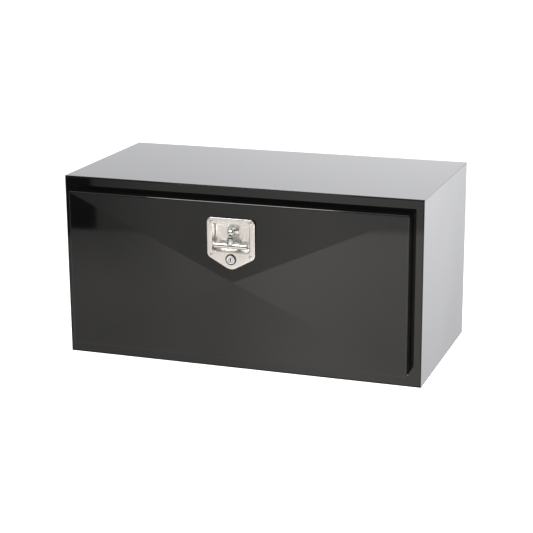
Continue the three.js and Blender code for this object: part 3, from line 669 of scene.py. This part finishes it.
def latch_spindle():
    """Shaft and collar with a ball-shaped fork for the handle."""
    collar = (SPINDLE_HIGH.x - SPINDLE_LOW.x) / 2
    shaft, neck = 7, 6.4
    ball = (PIN_HIGH.x - PIN_LOW.x) / 2 + 0.3
    front = PIVOT_Y - SPINDLE_LOW.y
    seat = FLOOR_FACE - 6.7
    profile = [(0, SPINDLE_LOW.y)] + arc((0, PIVOT_Y), (ball, front), 275, 360, 10)
    profile += arc((neck, PIVOT_Y), (ball - neck, 5.4), 0, 90, 6)[1:]
    profile += [(neck, seat), (collar - 0.6, seat)]
    profile += arc((collar - 0.6, seat + 0.6), 0.6, 270, 360, 3)[1:]
    profile += [(collar, seat + 1.8), (shaft, seat + 1.8), (shaft, SPINDLE_HIGH.y - 1)]
    profile += [(shaft - 1, SPINDLE_HIGH.y), (0, SPINDLE_HIGH.y)]
    bm = bmesh.new()
    add_turned(bm, profile, (LATCH_X, LATCH_Z))
    made = put("latch_spindle.forged", bm)
    slot, clear = 4.65, 12
    cut(made, block((LATCH_X - slot, SPINDLE_LOW.y - 2, LATCH_Z - clear),
                    (LATCH_X + slot, seat - 0.2, LATCH_Z + clear)))
    cut(made, rod(PIN_HOLE, LATCH_X - 12, LATCH_X + 12, PIVOT_Y, LATCH_Z))
    round_edges(made, 0.35, 3)
    dress(made, "latch_spindle")


def handle_pin():
    low, high = PIN_LOW, PIN_HIGH
    radius = (high.y - low.y) / 2
    profile = [(0, low.x)] + arc((radius - 0.5, low.x + 0.5), 0.5, 270, 360, 3)
    profile += [(radius, high.x - 0.5), (radius - 0.5, high.x), (0, high.x)]
    turned("handle_pin", profile, (PIVOT_Y, LATCH_Z), along_x, 32)


def t_handle():
    """Cast T-handle: eye on the pin, flared shank, round crossbar with centre marks in its ends."""
    low, high = box_mm("t_handle")
    bar = 6.15
    bar_z = low.z + bar
    bar_y = low.y + bar
    end = (high.x - low.x) / 2
    bm = bmesh.new()
    profile = [(0, -end + 1.8), (1.3, -end + 1.4), (2.1, -end), (bar - 1.1, -end)]
    profile += arc((bar - 1.1, -end + 1.1), 1.1, 270, 360, 4)[1:]
    profile += [(radius, -x) for radius, x in profile[::-1]]
    add_turned(bm, [(radius, LATCH_X + x) for radius, x in profile], (bar_y, bar_z), along_x)
    made = put("t_handle.casting", bm)
    cut(made, rod(EYE_R, LATCH_X - 4.25, LATCH_X + 4.25, PIVOT_Y, LATCH_Z), "UNION")
    bm = bmesh.new()
    sections = [
        # height above the bar, half width, front and rear measured from the bar middle
        (0.0, 12.5, -4.6, 4.4), (2.8, 10.8, -4.8, 4.4), (5.8, 9.2, -5.0, 4.5), (9.0, 8.4, -5.1, 4.8),
        (14.0, 8.1, -5.0, 5.4), (19.0, 7.8, -4.8, 6.2), (21.6, 6.9, -4.4, 7.0), (23.2, 5.6, -3.6, 7.8),
        (24.4, 4.3, -2.6, 8.4), (31.0, 4.2, -1.4, 8.6),
    ]
    loops = []
    for rise, half, ahead, behind in sections:
        middle = bar_y + (ahead + behind) / 2
        thick = (behind - ahead) / 2
        ring = []
        for step in range(48):
            angle = 2 * math.pi * step / 48
            across, along = math.cos(angle), math.sin(angle)
            ring.append(bm.verts.new((
                LATCH_X + half * math.copysign(abs(across) ** 0.75, across),
                middle + thick * math.copysign(abs(along) ** 0.75, along),
                bar_z + rise,
            )))
        loops.append(ring)
    for first, second in zip(loops, loops[1:]):
        bridge(bm, first, second)
    fill(bm, loops[0])
    fill(bm, loops[-1])
    cut(made, put("cutter", bm), "UNION")
    remesh = made.modifiers.new("cast", "REMESH")
    remesh.mode = "VOXEL"
    remesh.voxel_size = 0.42 * MM
    smooth = made.modifiers.new("polish", "SMOOTH")
    smooth.factor = 0.5
    smooth.iterations = 8
    apply_modifiers(made)
    cut(made, rod(PIN_HOLE, LATCH_X - 12, LATCH_X + 12, PIVOT_Y, LATCH_Z))
    dress(made, "t_handle")


# ------------------------------------------------------------------ key lock
def lock_body():
    """Round flat head with an eased edge, on a plain barrel."""
    low, high = box_mm("lock_body")
    face, radius, bore = low.y, (high.x - low.x) / 2, 6.6
    shaft = 9.7
    profile = [(bore, high.y), (bore, face + 0.4), (bore + 0.3, face + 0.1), (bore + 0.6, face)]
    profile += [(radius - 0.9, face)]
    profile += arc((radius - 0.9, face + 0.9), 0.9, 270, 360, 5)[1:]
    profile += [(radius, DISH_FACE - 0.3), (shaft, DISH_FACE - 0.3), (shaft, high.y)]
    turned("lock_body", profile, (LATCH_X, LOCK_Z))


def lock_ring():
    """Dark ring between the lock head and the dish: a dark part standing in for the shade in the gap round
    the lock head, painted shade.
    """
    low, high = box_mm("lock_ring")
    radius, bore = (high.x - low.x) / 2, 10.9
    profile = [(bore, high.y), (bore, low.y + 0.2), (bore + 0.2, low.y)]
    profile += arc((radius - 0.8, low.y + 0.8), 0.8, 270, 360, 5) + [(radius, high.y)]
    turned("lock_ring", profile, (LATCH_X, LOCK_Z))


def lock_plug():
    """Key plug with its keyway, and a black rubber sheet just inside the keyway: painted shade for the dark
    depth of the keyway.
    """
    low, high = box_mm("lock_plug")
    radius, bolt = (high.x - low.x) / 2, 3
    plate = box_mm("lock_body")[1].y
    profile = [(0, low.y), (radius - 0.5, low.y)]
    profile += arc((radius - 0.5, low.y + 0.5), 0.5, 270, 360, 3)[1:]
    profile += [(radius, plate), (bolt, plate), (bolt, high.y - 0.4), (bolt - 0.4, high.y), (0, high.y)]
    bm = bmesh.new()
    add_turned(bm, profile, (LATCH_X, LOCK_Z))
    made = put("lock_plug.turned", bm)
    wide, tall = 1.55, 4.3
    cut(made, block((LATCH_X - wide, low.y - 1, LOCK_Z - tall), (LATCH_X + wide, low.y + 12, LOCK_Z + tall)))
    dress(made, "lock_plug")
    # a black rubber sheet just inside the keyway: painted shade standing in for the keyway's dark depth
    depth, edge = low.y + 0.9, 0.2
    keyway = [(LATCH_X - wide + edge, LOCK_Z - tall + edge), (LATCH_X + wide - edge, LOCK_Z - tall + edge),
              (LATCH_X + wide - edge, LOCK_Z + tall - edge), (LATCH_X - wide + edge, LOCK_Z + tall - edge)]
    bm = bmesh.new()
    levels = [(0.4, depth), (0, depth + 0.5), (0, depth + 2)]
    rings = stack(bm, lambda inset: outline(keyway, 0.6, inset), levels)
    fill(bm, rings[0])
    fill(bm, rings[-1])
    keyway_shade_sheet = dress(put("lock_plug.shutter", bm), "lock_plug")
    keyway_shade_sheet.data.materials[0] = MATERIALS["rubber"]


# ------------------------------------------------------------------ build
body_wrap()
front_frame()
weatherstrip()
door_pan()
latch_dish()
dish_rivets()
latch_bushing()
latch_spindle()
handle_pin()
t_handle()
lock_body()
lock_ring()
lock_plug()
for node in sorted(BODY):
    if not frame["nodes"][node].hide_render:
        refined(node, RAW_EDGE)


# ------------------------------------------------------------------ studio
# brightness of the room by direction: (degrees right of straight ahead or straight back, level)
FRONT_TABLE = [(-90, 0.1), (-62, 0.12), (-54, 1.1), (-32, 1.1), (-29, 0.85), (-26, 0.95),
               (-22, 1.2), (-17, 1.7), (-13, 1.5), (-6, 1.3), (4, 0.7), (19, 0.7),
               (24, 4.5), (36, 4.5), (41, 0.9), (90, 0.8)]
REAR_SWEEP = [(-90, 0.3), (-40, 0.9), (-27, 1.4), (-12, 1.78), (8, 1.75), (11.5, 1.78),
              (13.4, 2.28), (30, 2.0), (90, 1.4)]

BRIGHTEST = 6  # top of the curves above
DARK_ROOM = 0.05
DARK_THING = 0.03
BACKDROP = 1.3  # seen by the camera behind the box
FRONT_TINT = (1.02, 0.99, 0.955)
REAR_TINT = (0.985, 0.99, 1.02)


def maths(tree, operation, first, second=None):
    node = tree.nodes.new("ShaderNodeMath")
    node.operation = operation
    for socket, value in zip(node.inputs, (first, second)):
        if isinstance(value, (int, float)):
            socket.default_value = value
        elif value is not None:
            tree.links.new(value, socket)
    return node.outputs["Value"]


def curve(tree, value, points):
    """A smooth curve through (degrees, level) points, from -90 to 90 degrees."""
    node = tree.nodes.new("ShaderNodeValToRGB")
    ramp = node.color_ramp
    ramp.interpolation = "EASE"
    for index, (degrees, level) in enumerate(points):
        place = (degrees + 90) / 180
        stop = ramp.elements[-1] if index == len(points) - 1 else ramp.elements.new(place)
        stop.position = place
        stop.color = (level / BRIGHTEST, level / BRIGHTEST, level / BRIGHTEST, 1)
    ramp.elements.remove(ramp.elements[0])
    tree.links.new(spread(tree, value, 0, 1, -90, 90), node.inputs["Fac"])
    return maths(tree, "MULTIPLY", node.outputs["Color"], BRIGHTEST)


def mix(tree, factor, first, second):
    node = tree.nodes.new("ShaderNodeMix")
    for name, value in (("Factor", factor), ("A", first), ("B", second)):
        if isinstance(value, (int, float)):
            node.inputs[name].default_value = value
        else:
            tree.links.new(value, node.inputs[name])
    return node.outputs["Result"]


def make_world():
    """The room by direction: a pale table in front, a dark room above it, a bright sweep behind."""
    world = bpy.data.worlds.new("studio")
    world.use_nodes = True
    tree = world.node_tree
    background = tree.nodes["Background"]
    direction = tree.nodes.new("ShaderNodeTexCoord").outputs["Generated"]
    axes = tree.nodes.new("ShaderNodeSeparateXYZ")
    tree.links.new(direction, axes.inputs["Vector"])
    x, y, z = axes.outputs
    # up and ahead are in degrees: above the horizon, and to the right of straight ahead or back
    up = maths(tree, "DEGREES", maths(tree, "ARCSINE", z))
    ahead = maths(tree, "DEGREES", maths(tree, "ARCTAN2", x, maths(tree, "ABSOLUTE", y)))
    table = curve(tree, ahead, FRONT_TABLE)
    above_table = spread(tree, up, 1, 0.62, -14.1, -14.0)
    near = spread(tree, up, 0.86, 1, -19, -15)
    left_end = spread(tree, ahead, 1, 0, -26, -23.5)
    far_left = mix(tree, left_end, 1, spread(tree, up, 1, 0.68, -16.3, -14.3))
    near = maths(tree, "MULTIPLY", near, far_left)
    room = spread(tree, up, 0, 1, -9, -6)
    ceiling = mix(tree, spread(tree, up, 0, 1, 20, 32), DARK_ROOM, spread(tree, ahead, 0.6, 0.12, -12, 8))
    table = maths(tree, "MULTIPLY", maths(tree, "MULTIPLY", table, above_table), near)
    front = mix(tree, room, table, ceiling)
    # something dark stands on the left end of the table
    edge = spread(tree, up, 26.75, 25.9, -12.8, -12.3)
    beyond = maths(tree, "LESS_THAN", ahead, maths(tree, "MULTIPLY", edge, -1))
    foot = spread(tree, up, 0, 1, -14.05, -13.95)
    standing = maths(tree, "MULTIPLY", foot, spread(tree, up, 1, 0, -11.5, -11.3))
    front = mix(tree, maths(tree, "MULTIPLY", beyond, standing), front, DARK_THING)
    sweep = curve(tree, ahead, REAR_SWEEP)
    rear = maths(tree, "MULTIPLY", sweep, spread(tree, up, 0.72, 1, -19, -12))
    # dimmer near the horizon, where paint seen almost edge-on mirrors strongly
    above = spread(tree, up, 0, 1, -11.5, -8)
    horizon = maths(tree, "MULTIPLY", above, spread(tree, up, 1, 0, 6, 9.5))
    rear = maths(tree, "MULTIPLY", rear, spread(tree, horizon, 1, 0.5, 0, 1))
    side = spread(tree, y, 0, 1, -0.15, 0.35)
    level = mix(tree, side, front, rear)
    seen = tree.nodes.new("ShaderNodeLightPath").outputs["Is Camera Ray"]
    tree.links.new(mix(tree, seen, level, BACKDROP), background.inputs["Strength"])
    tree.links.new(two_tone(tree, side, FRONT_TINT, REAR_TINT, 0, 1), background.inputs["Color"])
    bpy.context.scene.world = world


FLOOR_LEVEL = -0.9  # metres: the open door and its lifted handle hang below the box
FLOOR_HALF = 5.5


def make_floor():
    """A pale floor, clear of the open door. No reflection sees it: the table in the room stands for it."""
    bm = bmesh.new()
    bmesh.ops.create_grid(bm, x_segments=8, y_segments=8, size=FLOOR_HALF)
    floor = put_metres("floor", bm)
    floor.location.z = FLOOR_LEVEL
    material, tree, shader = new_material("pale_floor")
    tone = two_tone(tree, noise(tree, coordinates(tree), 0.6, 2), (0.80, 0.80, 0.80), (0.84, 0.84, 0.84))
    tree.links.new(tone, shader.inputs["Base Color"])
    shader.inputs["Roughness"].default_value = 0.7
    shader.inputs["Specular IOR Level"].default_value = 0.1
    floor.data.materials.append(material)
    floor.visible_glossy = False


def softbox(name, at, towards, width, height, radiance, mirrored=True):
    """A rectangular light of even radiance, seen in reflections or not."""
    data = bpy.data.lights.new(name, "AREA")
    data.shape = "RECTANGLE"
    data.size = width
    data.size_y = height
    data.energy = radiance * math.pi * width * height
    lamp = bpy.data.objects.new(name, data)
    lamp.location = at
    lamp.rotation_euler = (Vector(towards) - Vector(at)).to_track_quat("-Z", "Y").to_euler()
    lamp.visible_camera = False
    lamp.visible_glossy = mirrored
    bpy.context.scene.collection.objects.link(lamp)
    return lamp


bpy.context.scene.view_settings.view_transform = "Standard"
make_world()
make_floor()
softbox("overhead_softbox", (-0.85, -0.5, 2.8), (-0.85, -0.5, 0), 0.8, 2.2, 9)
softbox("floor_fill", (0, 0, 3.6), (0, 0, 0), 9, 9, 2.4, mirrored=False)
softbox("front_fill", (1.5, -4.5, 2.5), (0, 0, 0), 4, 3, 10, mirrored=False)
